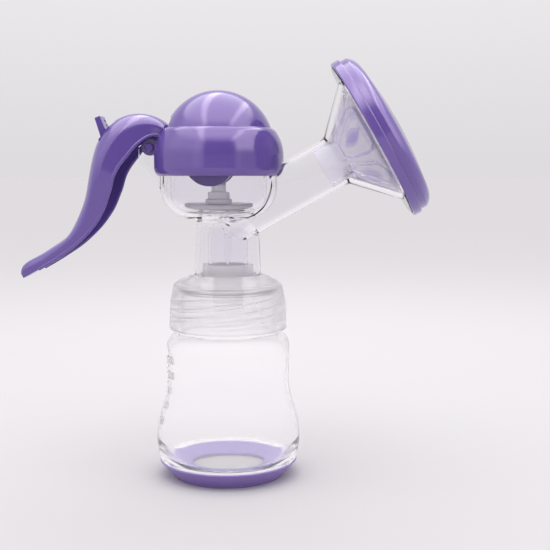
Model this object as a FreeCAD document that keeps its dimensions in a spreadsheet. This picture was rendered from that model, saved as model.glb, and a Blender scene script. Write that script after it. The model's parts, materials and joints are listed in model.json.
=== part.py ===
"""Hand-worked breast pump: bottle, screw collar, clear pump body, diaphragm, lever and funnel lid.

Origin on the bottle's axis at the table. +X points to the funnel, the lever is on -X, +Z is up. Millimetres.
"""
import FreeCAD, Part
import math
import os
import re
import Sketcher

DIMENSIONS = {
    # foot ring: an open cone with a flat foot
    "foot_radius": 28.0,
    "ring_radius": 34.0,
    "ring_height": 8.2,
    "ring_opening": 18.6,
    "ring_edge": 1.0,
    "dish_radius": 28.2,
    "dish_height": 2.4,
    # bottle
    "bottle_wall": 1.6,
    "bottle_foot_radius": 33.7,
    "belly_radius": 35.4,
    "belly_height": 19.0,
    "belly_bend": 35.1,
    "waist_radius": 30.0,
    "waist_height": 49.0,
    "shoulder_radius": 30.3,
    "shoulder_height": 63.5,
    "shoulder_bend": 8.0,
    "neck_base_radius": 25.4,
    "neck_base_height": 71.6,
    "neck_radius": 23.4,
    "mouth_height": 90.4,
    # four-start screw thread between bottle and collar
    "thread_starts": 4,
    "thread_lead": 16.0,
    "thread_depth": 1.1,
    "thread_root_width": 1.8,
    "thread_crest_width": 0.8,
    "thread_height": 75.5,
    "thread_rise": 12.0,
    "thread_sink": 0.3,
    # screw collar
    "collar_bottom": 73.0,
    "collar_radius": 28.8,
    "collar_edge": 0.6,
    "collar_bore": 25.0,
    "collar_side_height": 78.0,
    "collar_side_bend": 60.0,
    "collar_shoulder_radius": 26.7,
    "collar_shoulder_height": 94.0,
    "collar_crown_radius": 25.7,
    "collar_crown_height": 95.5,
    "collar_crown_bend": 30.0,
    "collar_mouth_radius": 17.2,
    "collar_top": 99.8,
    "collar_roof": 1.8,
    "collar_land_height": 93.7,
    "collar_land_radius": 21.6,
    # sealing gasket on the bottle's mouth
    "gasket_thickness": 1.2,
    "gasket_bore": 19.8,
    # pump body: neck
    "neck_flange_radius": 23.9,
    "neck_flange_thickness": 1.8,
    "tower_foot_radius": 16.4,
    "tower_foot_height": 97.6,
    "tower_foot_bend": 5.0,
    "tower_radius": 15.2,
    "tower_top": 125.6,
    "tower_ceiling": 123.2,
    "body_wall": 1.8,
    "milk_tube_radius": 9.7,
    "milk_bore_radius": 8.2,
    "milk_tube_bottom": 99.0,
    # pump body: bowl
    "cup_offset": 4.3,
    "bowl_radius": 28.5,
    "bowl_wall": 2.0,
    "bowl_bend_height": 142.5,
    "bowl_bend": 15.9,
    "bowl_knee_radius": 16.9,
    "bowl_knee_height": 127.2,
    "bowl_floor_radius": 9.0,
    "bowl_floor_height": 125.2,
    "bowl_rim_height": 152.0,
    "bowl_rim_radius": 28.8,
    "bowl_rim_thickness": 2.6,
    "air_port_radius": 2.2,
    # pump body: funnel along its own slanted axis, distances from the bottle's axis
    "funnel_height": 125.0,
    "funnel_elevation": 29.5,
    "tube_radius": 12.3,
    "tube_bore": 10.7,
    "tube_start": -2.0,
    "throat_reach": 61.6,
    "throat_radius": 13.3,
    "throat_bend": 3.0,
    "flange_reach": 80.0,
    "flange_thickness": 2.2,
    "flange_radius": 39.2,
    "cone_radius": 32.3,
    "cone_wall": 2.2,
    # pump body: milk chute under the bowl and drip rib in the milk tube
    "chute_thickness": 1.6,
    "chute_width": 13.0,
    "chute_top_x": 14.2,
    "chute_top_height": 128.2,
    "chute_foot_height": 117.6,
    "chute_bend": 30.0,
    "rib_radius": 1.6,
    "rib_tip_height": 104.0,
    "rib_taper_height": 107.0,
    "rib_top": 120.0,
    # pump body: bracket cheeks and lever pivot
    "pivot_x": -37.0,
    "pivot_height": 161.5,
    "pin_radius": 2.0,
    "pin_length": 17.2,
    "pin_chamfer": 0.4,
    "pin_play": 0.05,
    "cheek_gap": 12.0,
    "cheek_thickness": 2.2,
    "cheek_left": -42.0,
    "cheek_left_height": 154.6,
    "cheek_corner_x": -39.7,
    "cheek_corner_height": 152.1,
    "cheek_corner_bend": 2.6,
    "cheek_foot_x": -31.4,
    "cheek_foot_height": 141.2,
    "cheek_root_x": -30.4,
    "cheek_right": -33.4,
    "cheek_round": 4.2,
    # diaphragm and pull rod
    "membrane_flange_radius": 28.6,
    "membrane_flange_thickness": 1.5,
    "membrane_radius": 23.4,
    "membrane_wall": 1.5,
    "membrane_bottom": 129.6,
    "membrane_bend": 9.5,
    "disc_radius": 16.8,
    "disc_foot_radius": 13.7,
    "disc_chamfer_height": 1.1,
    "disc_thickness": 2.9,
    "hub_radius": 6.4,
    "hub_height": 136.4,
    "boss_radius": 5.3,
    "boss_height": 139.9,
    "rod_radius": 3.5,
    "rod_top": 160.5,
    "trunnion_height": 158.0,
    "trunnion_radius": 2.2,
    "trunnion_length": 12.8,
    # dome cover
    "cover_bottom": 147.8,
    "cover_mouth_radius": 29.9,
    "cover_bore": 29.2,
    "skirt_radius": 31.7,
    "skirt_low_height": 151.4,
    "skirt_high_height": 157.5,
    "skirt_edge_bend": 4.5,
    "skirt_shoulder_bend": 10.0,
    "skirt_top_radius": 28.6,
    "skirt_top_height": 168.2,
    "waist_ring_radius": 25.6,
    "waist_ring_height": 170.8,
    "dome_top": 189.0,
    "dome_bend": 27.1,
    "cover_wall": 2.0,
    "ledge_height": 153.8,
    "ledge_radius": 26.6,
    "ledge_thickness": 1.8,
    "notch_gap": 0.5,
    "notch_reach": 60.0,
    "cover_slot_width": 22.0,
    "cover_slot_top": 176.0,
    "cover_slot_reach": -18.0,
    "cover_slot_round": 4.0,
    # lever: shell
    "lever_wall": 2.0,
    "lever_side_share": 0.45,
    "lever_corner_share": 0.62,
    "lever_overcut": 1.5,
    # lever: arm over the diaphragm
    "arm_width": 16.0,
    "arm_slot_width": 8.4,
    "arm_end_x": -7.8,
    "arm_end_height": 155.0,
    "arm_end_radius": 12.3,
    "arm_root_x": -32.2,
    "arm_root_top": 173.0,
    "arm_root_bottom": 164.0,
    "arm_slot_left": -17.0,
    "arm_slot_top": 163.0,
    "trunnion_slot_height": 5.5,
    "trunnion_slot_length": 7.4,
    "trunnion_slot_shift": 0.4,
    # lever: pivot lug
    "lug_width": 10.8,
    "lug_radius": 4.0,
    "lug_top": 174.2,
    "lug_top_rise": 2.6,
    # level selector
    "selector_x": -57.3,
    "selector_height": 164.2,
    "selector_lean": 22.5,
    "selector_width": 10.4,
    "selector_hub_radius": 3.0,
    "selector_pin_radius": 1.5,
    "selector_pin_length": 16.4,
    "tab_left": -1.8,
    "tab_plate": 3.6,
    "tab_right": 3.2,
    "tab_top": 13.2,
    "tab_web_top": 7.2,
    "tab_ridge": 1.3,
    "tab_ridge_pitch": 2.3,
    "selector_slot_left": -3.6,
    "selector_slot_right": 6.8,
    "selector_slot_bottom": -0.5,
    "selector_slot_top": 13.0,
    "selector_slot_width": 11.6,
    "selector_boss_gap": 11.2,
    "selector_boss_thickness": 2.2,
    "selector_boss_radius": 3.6,
    "selector_boss_top_left": 2.6,
    "selector_boss_top_right": 6.6,
    # massage cushion, along the funnel's axis
    "cushion_gap": 0.2,
    "cushion_thickness": 2.6,
    "cushion_sleeve_wall": 1.6,
    "cushion_sleeve_end": 53.0,
    "cushion_lip_radius": 38.8,
    "cushion_lip_thickness": 1.5,
    # funnel lid, along the funnel's axis
    "lid_back": 80.6,
    "lid_radius": 41.5,
    "lid_edge": 0.6,
    "lid_bore": 39.9,
    "lid_skirt_depth": 4.2,
    "lid_band_radius": 40.3,
    "lid_band_depth": 7.4,
    "lid_edge_bend": 8.0,
    "lid_crown_radius": 33.0,
    "lid_crown_depth": 11.6,
    "lid_crown_bend": 183.0,
    "lid_depth": 14.6,
    "lid_wall": 1.7,
    # duckbill valve
    "valve_radius": 12.4,
    "valve_bore": 9.75,
    "valve_top": 104.6,
    "valve_bottom": 97.7,
    "valve_bill_radius": 8.4,
    "valve_hole_radius": 7.2,
    "valve_tip_height": 83.0,
    "valve_tip_half_width": 7.4,
    "valve_tip_half_depth": 1.5,
    "valve_tip_wall": 0.9,
    "valve_slit_length": 11.0,
    "valve_slit_width": 0.2,
}

# Lever sections from the cover to the tip: x and height of the lip, x and height of the back, half width
LEVER_SECTIONS = [
    (-29.5, 166.6, -27.0, 170.6, 8.4),
    (-35.3, 166.9, -34.3, 176.2, 10.3),
    (-40.4, 164.2, -44.6, 177.9, 11.8),
    (-46.2, 158.0, -56.4, 173.4, 13.5),
    (-52.6, 149.1, -65.8, 157.0, 14.0),
    (-55.6, 140.0, -68.7, 143.0, 13.2),
    (-60.4, 129.1, -70.5, 135.6, 11.2),
    (-70.8, 116.8, -76.4, 122.4, 8.8),
    (-82.1, 108.4, -85.6, 113.7, 6.8),
    (-92.9, 101.9, -95.7, 107.6, 5.5),
    (-98.4, 98.9, -101.4, 104.2, 4.5),
    (-101.6, 97.3, -103.4, 100.5, 2.7),
]
SECTION_NAMES = ("lip_x", "lip_height", "back_x", "back_height", "half_width")
# the hollow of the lever ends before its solid tip
HOLLOW_SECTIONS = len(LEVER_SECTIONS) - 3

DOC = FreeCAD.newDocument("BreastPump")
SIZES = DOC.addObject("Spreadsheet::Sheet", "Sizes")


# ---------------------------------------------------------------- sheet and sketch helpers

def fill_sheet():
    """Write every driving dimension to the sheet, with its name as the cell's alias."""
    for number, section in enumerate(LEVER_SECTIONS):
        for name, amount in zip(SECTION_NAMES, section):
            DIMENSIONS[f"lever_{name}_{number}"] = amount
    for row, (alias, amount) in enumerate(DIMENSIONS.items(), start=1):
        SIZES.set(f"A{row}", alias)
        SIZES.set(f"B{row}", str(amount))
        SIZES.setAlias(f"B{row}", alias)
    DOC.recompute()


def size(text):
    """Value now of an expression in the sheet's names."""
    amount = SIZES.evalExpression(text)
    return float(getattr(amount, "Value", amount))


def bound(text):
    """The same expression as other objects write it."""
    return re.sub(r"[a-z][a-z_0-9]*", lambda name: sheet_name(name.group(0)), text)


def sheet_name(word):
    return f"Sizes.{word}" if word in DIMENSIONS else word


def new_body(label, x="0", z="0", axis=FreeCAD.Vector(0, 1, 0), angle="0"):
    """A body whose own origin is at x, z and which is turned about an axis there."""
    body = DOC.addObject("PartDesign::Body", label)
    body.Label = label
    place = FreeCAD.Vector(size(x), 0, size(z))
    body.Placement = FreeCAD.Placement(place, FreeCAD.Rotation(axis, size(angle)))
    for path, text in (("Base.x", x), ("Base.z", z), ("Rotation.Angle", angle)):
        if text != "0":
            body.setExpression(f"Placement.{path}", bound(text))
    return body


def origin_item(body, role):
    return next(item for item in body.Origin.OriginFeatures if item.Role == role)


def new_sketch(body, name, plane="XZ_Plane", move=("0", "0", "0"), axis=FreeCAD.Vector(0, 0, 1), turn="0"):
    """A sketch on one of the body's origin planes, moved and turned within that plane's axes."""
    sketch = body.newObject("Sketcher::SketchObject", name)
    sketch.AttachmentSupport = (origin_item(body, plane), [""])
    sketch.MapMode = "FlatFace"
    place = FreeCAD.Vector(*[size(text) for text in move])
    sketch.AttachmentOffset = FreeCAD.Placement(place, FreeCAD.Rotation(axis, size(turn)))
    for path, text in zip(("Base.x", "Base.y", "Base.z", "Rotation.Angle"), (*move, turn)):
        if text != "0":
            sketch.setExpression(f"AttachmentOffset.{path}", bound(text))
    return sketch


def fix_point(sketch, edge, end, x, y):
    """Tie one end of an edge to coordinates written in the sheet's names."""
    for kind, text, axis in (("DistanceX", x, -2), ("DistanceY", y, -1)):
        if text == "0":
            sketch.addConstraint(Sketcher.Constraint("PointOnObject", edge, end, axis))
            continue
        index = sketch.addConstraint(Sketcher.Constraint(kind, -1, 1, edge, end, size(text)))
        sketch.setExpression(f"Constraints[{index}]", bound(text))


def fix_radius(sketch, edge, radius):
    index = sketch.addConstraint(Sketcher.Constraint("Radius", edge, size(radius)))
    sketch.setExpression(f"Constraints[{index}]", bound(radius))


def arc_between(start, end, turn, radius):
    """Minor arc from start to end, with the numbers of its first and last point."""
    chord = end - start
    height = math.sqrt(radius ** 2 - (chord.Length / 2) ** 2)
    side = FreeCAD.Vector(-chord.y, chord.x, 0).normalize()
    if turn == "cw":
        side = side * -1
    centre = (start + end) * 0.5 + side * height
    begin = math.atan2(start.y - centre.y, start.x - centre.x)
    finish = math.atan2(end.y - centre.y, end.x - centre.x)
    circle = Part.Circle(centre, FreeCAD.Vector(0, 0, 1), radius)
    if turn == "ccw":
        return Part.ArcOfCircle(circle, begin, finish), (1, 2)
    return Part.ArcOfCircle(circle, finish, begin), (2, 1)


def outline(sketch, corners):
    """Closed outline. A corner is (x, y), and an arc to it adds "ccw" or "cw" and its radius."""
    points = [FreeCAD.Vector(size(corner[0]), size(corner[1]), 0) for corner in corners]
    edges = []
    for index, corner in enumerate(corners):
        if len(corner) == 2:
            piece, ends = Part.LineSegment(points[index - 1], points[index]), (1, 2)
        else:
            piece, ends = arc_between(points[index - 1], points[index], corner[2], size(corner[3]))
        edges.append((sketch.addGeometry(piece), ends))
    for index, corner in enumerate(corners):
        edge, ends = edges[index]
        following, next_ends = edges[(index + 1) % len(corners)]
        sketch.addConstraint(Sketcher.Constraint("Coincident", edge, ends[1], following, next_ends[0]))
        fix_point(sketch, edge, ends[1], corner[0], corner[1])
        if len(corner) > 2:
            fix_radius(sketch, edge, corner[3])
    return sketch


def circle(sketch, x, y, radius):
    centre = FreeCAD.Vector(size(x), size(y), 0)
    edge = sketch.addGeometry(Part.Circle(centre, FreeCAD.Vector(0, 0, 1), size(radius)))
    fix_point(sketch, edge, 3, x, y)
    fix_radius(sketch, edge, radius)
    return sketch


def box_outline(left, bottom, right, top):
    return [(left, bottom), (right, bottom), (right, top), (left, top)]


def s_bend(first_radius, first_height, last_radius, last_height, turns):
    """Two equal arcs, upright at both ends, from one radius and height to the next."""
    across = f"abs({last_radius} - ({first_radius}))"
    rise = f"({last_height} - ({first_height}))"
    bend = f"({across}^2 + {rise}^2) / (4 * {across})"
    middle = (f"({first_radius} + {last_radius}) / 2", f"({first_height} + {last_height}) / 2")
    return [(*middle, turns[0], bend), (last_radius, last_height, turns[1], bend)]


# ---------------------------------------------------------------- feature helpers

def turned(body, name, sketch, kind="Revolution"):
    """Full turn of a sketch about its own upright axis, added or, as a Groove, cut away."""
    item = body.newObject(f"PartDesign::{kind}", name)
    item.Profile = sketch
    item.ReferenceAxis = (sketch, ["V_Axis"])
    item.Angle = 360
    return item


def extruded(body, name, sketch, width, kind="Pad"):
    """Sketch pulled out equally to both sides, added or, as a Pocket, cut away."""
    item = body.newObject(f"PartDesign::{kind}", name)
    item.Profile = sketch
    item.SideType = "Symmetric"
    item.Length = size(width)
    item.setExpression("Length", bound(width))
    return item


def lofted(body, name, sketches, kind="AdditiveLoft"):
    item = body.newObject(f"PartDesign::{kind}", name)
    item.Profile = sketches[0]
    item.Sections = sketches[1:]
    return item


def turned_body(label, corners, **place):
    """A piece that is one turned outline."""
    body = new_body(label, **place)
    turned(body, f"{label}_turned", outline(new_sketch(body, f"{label}_outline"), corners))
    return body


def thread(body, name, crest_side, root, shift):
    """Right-hand ridges on a cylinder of radius root; crest_side is + outwards or - inwards."""
    sunk = "-" if crest_side == "+" else "+"
    middle = f"thread_height + {shift}"
    sketch = outline(new_sketch(body, f"{name}_section"), [
        (f"{root} {sunk} thread_sink", f"{middle} - thread_root_width / 2"),
        (f"{root} {crest_side} thread_depth", f"{middle} - thread_crest_width / 2"),
        (f"{root} {crest_side} thread_depth", f"{middle} + thread_crest_width / 2"),
        (f"{root} {sunk} thread_sink", f"{middle} + thread_root_width / 2"),
    ])
    ridge = body.newObject("PartDesign::AdditiveHelix", f"{name}_ridge")
    ridge.Profile = sketch
    ridge.ReferenceAxis = (sketch, ["V_Axis"])
    ridge.Mode = "pitch-height-angle"
    ridge.setExpression("Pitch", bound("thread_lead"))
    ridge.setExpression("Height", bound("thread_rise"))
    pattern = body.newObject("PartDesign::PolarPattern", f"{name}_starts")
    pattern.Originals = [ridge]
    pattern.Axis = (origin_item(body, "Z_Axis"), [""])
    pattern.Angle = 360
    pattern.Occurrences = int(size("thread_starts"))
    body.Tip = pattern


# ---------------------------------------------------------------- bottle end

def make_base_ring():
    """Foot ring: flared outside, conical inside, open in the middle."""
    return turned_body("base_ring", [
        ("ring_opening", "0"),
        ("foot_radius - ring_edge", "0"),
        ("foot_radius", "ring_edge", "ccw", "ring_edge"),
        ("ring_radius", "ring_height - ring_edge / 2"),
        ("ring_radius - ring_edge / 2", "ring_height", "ccw", "ring_edge / 2"),
        ("dish_radius", "ring_height"),
        ("ring_opening", "dish_height"),
    ])


def make_bottle():
    """Waisted bottle whose dished floor sits in the foot ring's cone, with a four-start neck."""
    outer = s_bend("belly_radius", "belly_height", "waist_radius", "waist_height", ("ccw", "cw"))
    inner = s_bend("(waist_radius - bottle_wall)", "waist_height",
                   "(belly_radius - bottle_wall)", "belly_height", ("ccw", "cw"))
    body = turned_body("bottle", [
        ("0", "dish_height"),
        ("ring_opening", "dish_height"),
        ("dish_radius", "ring_height"),
        ("bottle_foot_radius", "ring_height"),
        ("belly_radius", "belly_height", "ccw", "belly_bend"),
        *outer,
        ("shoulder_radius", "shoulder_height"),
        ("neck_base_radius", "neck_base_height", "ccw", "shoulder_bend"),
        ("neck_radius", "neck_base_height"),
        ("neck_radius", "mouth_height"),
        ("neck_radius - bottle_wall", "mouth_height"),
        ("neck_radius - bottle_wall", "neck_base_height - bottle_wall"),
        ("shoulder_radius - bottle_wall", "shoulder_height", "cw", "shoulder_bend"),
        ("waist_radius - bottle_wall", "waist_height"),
        *inner,
        ("dish_radius", "ring_height + bottle_wall", "cw", "belly_bend / 2"),
        ("ring_opening", "dish_height + bottle_wall"),
        ("0", "dish_height + bottle_wall"),
    ])
    thread(body, "bottle_thread", "+", "neck_radius", "0")
    return body


def make_screw_collar():
    """Collar with an inner thread, a land that presses the neck flange, and a domed roof."""
    body = turned_body("screw_collar", [
        ("collar_bore", "collar_bottom"),
        ("collar_radius - collar_edge", "collar_bottom"),
        ("collar_radius", "collar_bottom + collar_edge", "ccw", "collar_edge"),
        ("collar_radius", "collar_side_height"),
        ("collar_shoulder_radius", "collar_shoulder_height", "ccw", "collar_side_bend"),
        ("collar_crown_radius", "collar_crown_height", "ccw", "collar_edge * 3"),
        ("collar_mouth_radius", "collar_top", "ccw", "collar_crown_bend"),
        ("collar_mouth_radius", "collar_top - collar_roof"),
        ("collar_land_radius", "collar_land_height"),
        ("collar_bore", "collar_land_height"),
    ])
    thread(body, "collar_thread", "-", "collar_bore", "thread_lead / thread_starts / 2")
    return body


def make_sealing_gasket():
    return turned_body("sealing_gasket", [
        *box_outline("gasket_bore", "mouth_height", "neck_radius", "mouth_height + gasket_thickness"),
    ])


def make_duckbill_valve():
    """Sleeve over the milk tube's end, closed below by a bill that narrows to a slit along X."""
    body = turned_body("duckbill_valve", [
        ("valve_hole_radius", "valve_bottom"),
        ("valve_radius", "valve_bottom"),
        ("valve_radius", "valve_top"),
        ("valve_bore", "valve_top"),
        ("valve_bore", "milk_tube_bottom"),
        ("valve_hole_radius", "milk_tube_bottom"),
    ])
    for kind, wall, top, tip in (
        ("AdditiveLoft", "0", "valve_bottom + 0.4", "valve_tip_height"),
        ("SubtractiveLoft", "valve_tip_wall", "milk_tube_bottom", "valve_tip_height + valve_tip_wall"),
    ):
        start = new_sketch(body, f"{kind}_top", "XY_Plane", ("0", "0", top))
        root = "valve_bill_radius" if kind == "AdditiveLoft" else "valve_hole_radius"
        ellipse(start, root, f"{root} * 0.98")
        end = new_sketch(body, f"{kind}_tip", "XY_Plane", ("0", "0", tip))
        ellipse(end, f"valve_tip_half_width - {wall}", f"valve_tip_half_depth - {wall}")
        lofted(body, f"valve_{kind}", [start, end], kind)
    slit = box_outline("-valve_slit_length / 2", "valve_tip_height - valve_tip_wall",
                       "valve_slit_length / 2", "valve_tip_height + valve_tip_wall * 2")
    extruded(body, "valve_slit", outline(new_sketch(body, "slit_outline"), slit), "valve_slit_width", "Pocket")
    return body


def ellipse(sketch, major, minor):
    centre = FreeCAD.Vector(0, 0, 0)
    sketch.addGeometry(Part.Ellipse(centre, size(major), size(minor)))
    return sketch


# ---------------------------------------------------------------- pump body

def make_pump_body():
    """One clear moulding: tower and milk tube, slanted funnel, bowl, and bracket cheeks."""
    body = new_body("pump_body")
    add_tower(body)
    add_funnel(body)
    add_bowl(body)
    add_bracket(body)
    return body


def add_tower(body):
    """Neck flange and hollow tower, with the milk tube inside."""
    flange_bottom = "mouth_height + gasket_thickness"
    flange_top = f"{flange_bottom} + neck_flange_thickness"
    turned(body, "tower", outline(new_sketch(body, "tower_outline"), [
        ("0", "tower_ceiling"),
        ("tower_radius - body_wall", "tower_ceiling"),
        ("tower_foot_radius - body_wall", flange_bottom),
        ("neck_flange_radius", flange_bottom),
        ("neck_flange_radius", flange_top),
        ("tower_foot_radius + tower_foot_bend * 0.85", flange_top),
        ("tower_foot_radius", "tower_foot_height", "cw", "tower_foot_bend"),
        ("tower_radius", "tower_top"),
        ("0", "tower_top"),
    ]))
    tube = box_outline("0", "milk_tube_bottom", "milk_tube_radius", "tower_top")
    turned(body, "milk_tube", outline(new_sketch(body, "milk_tube_outline"), tube))


def funnel_sketch(body, name):
    """A sketch whose upright axis is the funnel's axis and whose origin is on the bottle's axis."""
    return new_sketch(body, name, move=("0", "funnel_height", "0"), turn="funnel_elevation - 90")


def add_funnel(body):
    """Funnel tube, cone and flange, then the way through them down the milk tube."""
    turned(body, "funnel", outline(funnel_sketch(body, "funnel_outline"), [
        ("0", "tube_start"),
        ("tube_radius", "tube_start"),
        ("tube_radius", "throat_reach - throat_bend"),
        ("throat_radius", "throat_reach", "cw", "throat_bend * 2"),
        ("cone_radius", "flange_reach"),
        ("flange_radius", "flange_reach"),
        ("flange_radius", "flange_reach + flange_thickness"),
        ("0", "flange_reach + flange_thickness"),
    ]))
    turned(body, "funnel_way", outline(funnel_sketch(body, "funnel_way_outline"), [
        ("0", "0"),
        ("tube_bore", "0"),
        ("tube_bore", "throat_reach + cone_wall / 2"),
        ("cone_radius - cone_wall", "flange_reach + cone_wall / 2"),
        ("cone_radius - cone_wall", "flange_reach + flange_thickness"),
        ("0", "flange_reach + flange_thickness"),
    ]), "Groove")
    bore = box_outline("0", "milk_tube_bottom", "milk_bore_radius", "tower_ceiling")
    turned(body, "milk_bore", outline(new_sketch(body, "milk_bore_outline"), bore), "Groove")


def add_bowl(body):
    """Bowl on its own axis, whose wall closes the upper side of the milk way, and its air port."""
    turned(body, "bowl", outline(new_sketch(body, "bowl_outline", move=("-cup_offset", "0", "0")), [
        ("0", "bowl_floor_height"),
        ("bowl_floor_radius", "bowl_floor_height"),
        ("bowl_knee_radius", "bowl_knee_height"),
        ("bowl_radius", "bowl_bend_height", "ccw", "bowl_bend"),
        ("bowl_radius", "bowl_rim_height - bowl_rim_thickness"),
        ("bowl_rim_radius", "bowl_rim_height - bowl_rim_thickness"),
        ("bowl_rim_radius", "bowl_rim_height"),
        ("0", "bowl_rim_height"),
    ]))
    turned(body, "bowl_hollow", outline(new_sketch(body, "hollow_outline", move=("-cup_offset", "0", "0")), [
        ("0", "bowl_floor_height + bowl_wall"),
        ("bowl_floor_radius", "bowl_floor_height + bowl_wall"),
        ("bowl_knee_radius - bowl_wall / 4", "bowl_knee_height + bowl_wall"),
        ("bowl_radius - bowl_wall", "bowl_bend_height", "ccw", "bowl_bend - bowl_wall"),
        ("bowl_radius - bowl_wall", "bowl_rim_height"),
        ("cover_bore", "bowl_rim_height"),
        ("cover_bore", "ledge_height"),
        ("0", "ledge_height"),
    ]), "Groove")
    port = box_outline("0", "tower_ceiling - bowl_wall", "air_port_radius", "bowl_knee_height + bowl_wall")
    port_sketch = new_sketch(body, "air_port_outline", move=("-cup_offset", "0", "0"))
    turned(body, "air_port", outline(port_sketch, port), "Groove")
    rib = [
        ("0", "rib_tip_height"),
        ("rib_radius", "rib_taper_height"),
        ("rib_radius", "rib_top"),
        ("0", "rib_top"),
    ]
    turned(body, "drip_rib", outline(new_sketch(body, "drip_rib_outline"), rib))
    extruded(body, "milk_chute", outline(new_sketch(body, "chute_outline"), [
        ("chute_top_x", "chute_top_height"),
        ("-rib_radius / 2", "chute_foot_height", "cw", "chute_bend"),
        ("-rib_radius / 2", "chute_foot_height + chute_thickness * 1.3"),
        ("chute_top_x - chute_thickness", "chute_top_height + chute_thickness / 2", "ccw", "chute_bend"),
    ]), "chute_width")


def add_bracket(body):
    """Two cheeks on the bowl's wall that carry the lever's pin."""
    for side, name in (("", "near"), ("-", "far")):
        middle = f"{side}(cheek_gap + cheek_thickness) / 2"
        cheek = new_sketch(body, f"{name}_cheek_outline", move=("0", "0", middle))
        extruded(body, f"{name}_cheek", outline(cheek, [
            ("cheek_foot_x", "cheek_foot_height"),
            ("cheek_root_x", "bowl_bend_height + 0.4"),
            ("cheek_root_x", "bowl_rim_height - 0.4"),
            ("cheek_right", "bowl_rim_height"),
            ("pivot_x + cheek_round", "pivot_height"),
            ("pivot_x", "pivot_height + cheek_round", "ccw", "cheek_round"),
            ("cheek_left", "pivot_height"),
            ("cheek_left", "cheek_left_height"),
            ("cheek_corner_x", "cheek_corner_height", "ccw", "cheek_corner_bend"),
        ]), "cheek_thickness")
    hole = circle(new_sketch(body, "pin_hole_outline"), "pivot_x", "pivot_height", "pin_radius")
    extruded(body, "pin_hole", hole, "cheek_gap + cheek_thickness * 4", "Pocket")


# ---------------------------------------------------------------- under the cover

def make_diaphragm():
    """Silicone cup hung by its flange on the bowl's rim."""
    flange_top = "bowl_rim_height + membrane_flange_thickness"
    floor_radius = "membrane_radius - membrane_bend"
    return turned_body("diaphragm", [
        ("0", "membrane_bottom"),
        (floor_radius, "membrane_bottom"),
        ("membrane_radius", "membrane_bottom + membrane_bend", "ccw", "membrane_bend"),
        ("membrane_radius", "bowl_rim_height"),
        ("membrane_flange_radius", "bowl_rim_height"),
        ("membrane_flange_radius", flange_top),
        ("membrane_radius - membrane_wall", flange_top),
        ("membrane_radius - membrane_wall", "membrane_bottom + membrane_bend"),
        (floor_radius, "membrane_bottom + membrane_wall", "cw", "membrane_bend - membrane_wall"),
        ("0", "membrane_bottom + membrane_wall"),
    ], x="-cup_offset")


def make_pull_rod():
    """Disc, stepped hub and rod, with a cross trunnion for the lever's arm."""
    disc_bottom = "membrane_bottom + membrane_wall"
    disc_top = f"{disc_bottom} + disc_thickness"
    body = turned_body("pull_rod", [
        ("0", disc_bottom),
        ("disc_foot_radius", disc_bottom),
        ("disc_radius", f"{disc_bottom} + disc_chamfer_height"),
        ("disc_radius", disc_top),
        ("hub_radius", disc_top),
        ("hub_radius", "hub_height"),
        ("boss_radius", "hub_height"),
        ("boss_radius", "boss_height"),
        ("rod_radius", "boss_height"),
        ("rod_radius", "rod_top"),
        ("0", "rod_top"),
    ], x="-cup_offset")
    cross = circle(new_sketch(body, "trunnion_outline"), "0", "trunnion_height", "trunnion_radius")
    extruded(body, "trunnion", cross, "trunnion_length")
    return body


def make_dome_cover():
    """Flared skirt and dome on the bowl's rim, notched for the funnel tube and slotted for the lever."""
    body = turned_body("dome_cover", [
        ("cover_bore", "cover_bottom"),
        ("cover_mouth_radius", "cover_bottom"),
        ("skirt_radius", "skirt_low_height", "ccw", "skirt_edge_bend"),
        ("skirt_radius", "skirt_high_height"),
        ("skirt_top_radius", "skirt_top_height", "ccw", "skirt_shoulder_bend * 2"),
        ("waist_ring_radius", "waist_ring_height", "ccw", "skirt_shoulder_bend / 2"),
        ("0", "dome_top", "ccw", "dome_bend"),
        ("0", "dome_top - cover_wall"),
        ("waist_ring_radius - cover_wall", "waist_ring_height", "cw", "dome_bend - cover_wall"),
        ("skirt_top_radius - cover_wall", "skirt_top_height - cover_wall"),
        ("skirt_radius - cover_wall", "skirt_high_height"),
        ("ledge_radius", "ledge_height + ledge_thickness"),
        ("ledge_radius", "ledge_height"),
        ("cover_bore", "ledge_height"),
    ], x="-cup_offset")
    tube = box_outline("0", "0", "tube_radius + notch_gap", "notch_reach")
    notch = new_sketch(body, "notch_outline", move=("cup_offset", "funnel_height", "0"), turn="funnel_elevation - 90")
    turned(body, "tube_notch", outline(notch, tube), "Groove")
    half = "cover_slot_width / 2"
    slot = outline(new_sketch(body, "slot_outline", "YZ_Plane", ("0", "0", "cover_slot_reach - skirt_radius")), [
        (f"-({half})", "cover_bottom - cover_wall"),
        (half, "cover_bottom - cover_wall"),
        (half, "cover_slot_top - cover_slot_round"),
        (f"{half} - cover_slot_round", "cover_slot_top", "ccw", "cover_slot_round"),
        (f"-({half} - cover_slot_round)", "cover_slot_top"),
        (f"-({half})", "cover_slot_top - cover_slot_round", "ccw", "cover_slot_round"),
    ])
    extruded(body, "lever_slot", slot, "(skirt_radius + cup_offset) * 2", "Pocket")
    return body


# ---------------------------------------------------------------- lever and level selector

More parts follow.
